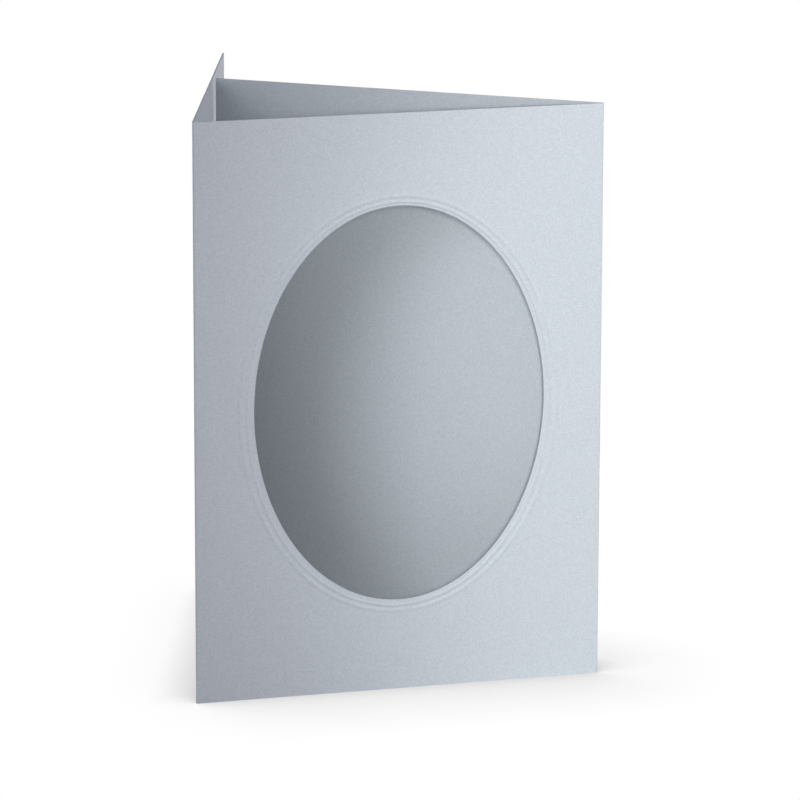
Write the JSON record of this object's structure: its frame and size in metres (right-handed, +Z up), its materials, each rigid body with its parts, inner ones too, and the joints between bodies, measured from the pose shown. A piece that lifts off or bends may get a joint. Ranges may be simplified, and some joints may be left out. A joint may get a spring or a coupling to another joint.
{
  "type": "passe-partout card",
  "caption": "Creased pearl card standing as a triangle: front panel with an oval window inside embossed rings, a back panel and a closing flap.",
  "frame": {"origin": "centre of the bounding box on the surface that the card stands on", "axes": "+Z up along the folds, +Y from the window panel towards the back, +X from the back panel's fold to the flap's fold"},
  "size_m": [0.12, 0.1126, 0.168],
  "materials": {
    "pearl_card": "silver-blue pearl sheen with a fine felt grain"
  },
  "bodies": {
    "root": {"folded_card": "pearl_card"}
  },
  "joints": []
}
